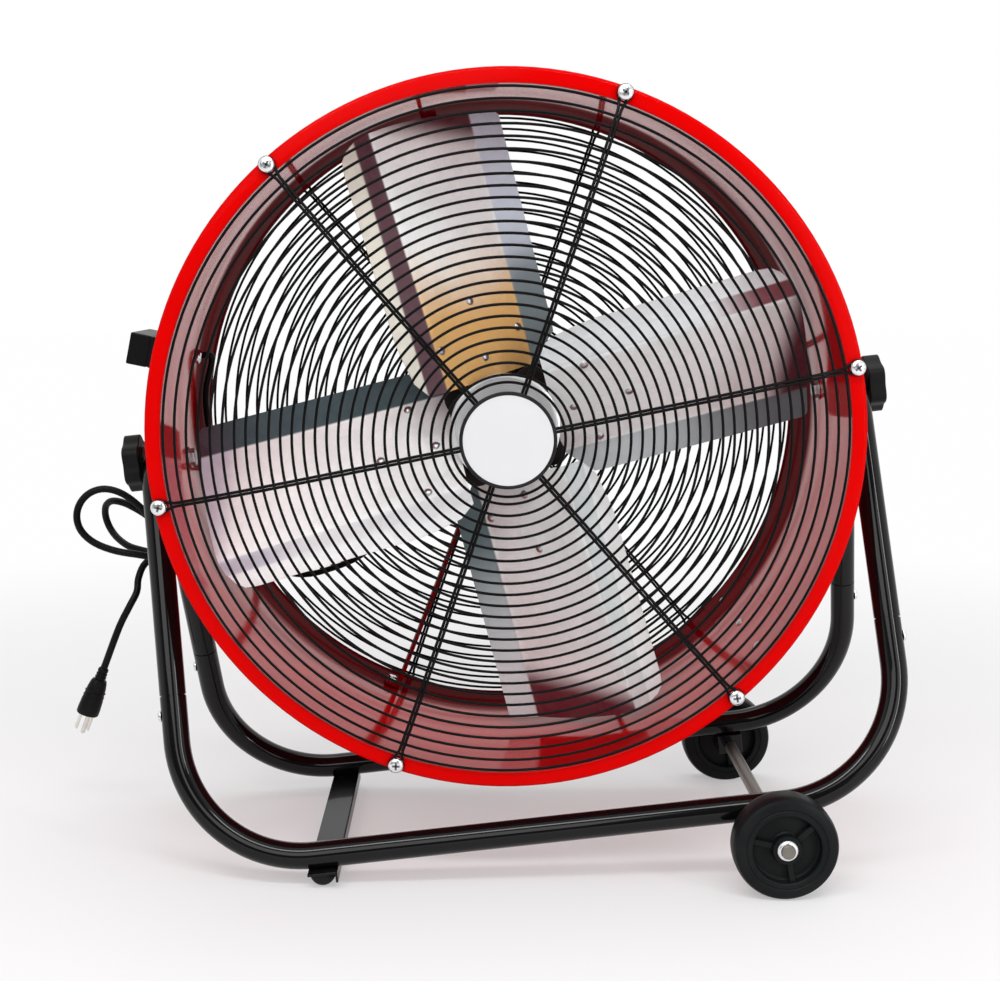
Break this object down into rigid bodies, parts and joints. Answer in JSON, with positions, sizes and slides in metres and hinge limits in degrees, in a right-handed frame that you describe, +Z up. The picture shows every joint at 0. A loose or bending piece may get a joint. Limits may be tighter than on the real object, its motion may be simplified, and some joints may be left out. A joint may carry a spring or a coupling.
{
  "type": "tilt_drum_fan",
  "caption": "Floor drum fan: red steel drum with wire guards, tilting in a black tube stand on two wheels, cord hung up.",
  "frame": {"origin": "floor level, under the centre of the fan's bounding box with the cord left out", "axes": "+Z up, -Y out of the front guard, +X towards the wheels"},
  "size_m": [0.8338, 0.392, 0.7483],
  "materials": {
    "red_paint": "gloss",
    "black_wire": "gloss",
    "chrome_screws": "polished",
    "badge_plastic": "gloss",
    "blade_sheet": "satin",
    "dark_steel": "satin",
    "bare_steel": "satin",
    "motor_paint": "satin",
    "black_plastic": "satin",
    "black_tube": "gloss",
    "foot_rubber": "matte",
    "cord_jacket": "matte"
  },
  "bodies": {
    "stand": {"left_arch_tube": "black_tube", "right_arch_tube": "black_tube", "front_lower_tube": "black_tube", "rear_lower_tube": "black_tube", "left_front_joint_screw": "chrome_screws", "right_front_joint_screw": "chrome_screws", "left_rear_joint_screw": "chrome_screws", "right_rear_joint_screw": "chrome_screws", "foot_bar": "black_tube", "front_foot": "foot_rubber", "rear_foot": "foot_rubber", "axle": "bare_steel", "front_axle_bracket": "black_tube", "rear_axle_bracket": "black_tube", "front_push_nut": "chrome_screws", "rear_push_nut": "chrome_screws", "cord_hank": "cord_jacket", "cord_tail": "cord_jacket", "cord_plug": "cord_jacket", "cord_tie": "cord_jacket"},
    "head": {"drum_shell": "red_paint", "front_guard": "black_wire", "rear_guard": "black_wire", "hub_badge": "badge_plastic", "front_guard_screw_1": "chrome_screws", "front_guard_screw_2": "chrome_screws", "front_guard_screw_3": "chrome_screws", "front_guard_screw_4": "chrome_screws", "front_guard_screw_5": "chrome_screws", "front_guard_screw_6": "chrome_screws", "rear_guard_screw_1": "chrome_screws", "rear_guard_screw_2": "chrome_screws", "rear_guard_screw_3": "chrome_screws", "rear_guard_screw_4": "chrome_screws", "rear_guard_screw_5": "chrome_screws", "rear_guard_screw_6": "chrome_screws", "left_pivot_bolt": "chrome_screws", "right_pivot_bolt": "chrome_screws", "left_pivot_spacer": "black_plastic", "right_pivot_spacer": "black_plastic", "switch_box": "black_tube", "switch_box_screw": "chrome_screws", "strain_relief": "foot_rubber", "motor_housing": "motor_paint", "motor_end_bell": "motor_paint", "motor_frame": "red_paint", "motor_lead": "cord_jacket", "cord_lead": "cord_jacket"},
    "fan": {"fan_shaft": "bare_steel", "spider": "dark_steel", "blade_1": "blade_sheet", "blade_2": "blade_sheet", "blade_3": "blade_sheet", "blade_4": "blade_sheet", "hub_cap": "bare_steel"},
    "switch": {"switch_knob": "black_plastic"},
    "left_clamp": {"left_knob": "black_plastic"},
    "right_clamp": {"right_knob": "black_plastic"},
    "front_roller": {"front_wheel": "black_plastic"},
    "rear_roller": {"rear_wheel": "black_plastic"}
  },
  "joints": [
    {"name": "head_tilt", "type": "hinge", "parent": "stand", "child": "head", "pos_m": [-0.00283, 0, 0.42043], "axis": [0.9943, 0, 0.1065], "range_deg": [-90, 90], "deforming": ["cord_lead"]},
    {"name": "fan_spin", "type": "hinge", "parent": "head", "child": "fan", "pos_m": [-0.00283, 0, 0.42043], "axis": [0, 1, 0], "continuous": true},
    {"name": "left_knob_turn", "type": "hinge", "parent": "head", "child": "left_clamp", "pos_m": [-0.00283, 0, 0.42043], "axis": [0.9943, 0, 0.1065], "continuous": true},
    {"name": "right_knob_turn", "type": "hinge", "parent": "head", "child": "right_clamp", "pos_m": [-0.00283, 0, 0.42043], "axis": [0.9943, 0, 0.1065], "continuous": true},
    {"name": "switch_turn", "type": "hinge", "parent": "head", "child": "switch", "pos_m": [-0.34077, 0.09, 0.49034], "axis": [0, 1, 0], "range_deg": [0, 120]},
    {"name": "front_wheel_spin", "type": "hinge", "parent": "stand", "child": "front_roller", "pos_m": [0.2504, -0.174, 0.04863], "axis": [0, 1, 0], "continuous": true},
    {"name": "rear_wheel_spin", "type": "hinge", "parent": "stand", "child": "rear_roller", "pos_m": [0.2504, 0.174, 0.04863], "axis": [0, 1, 0], "continuous": true}
  ]
}
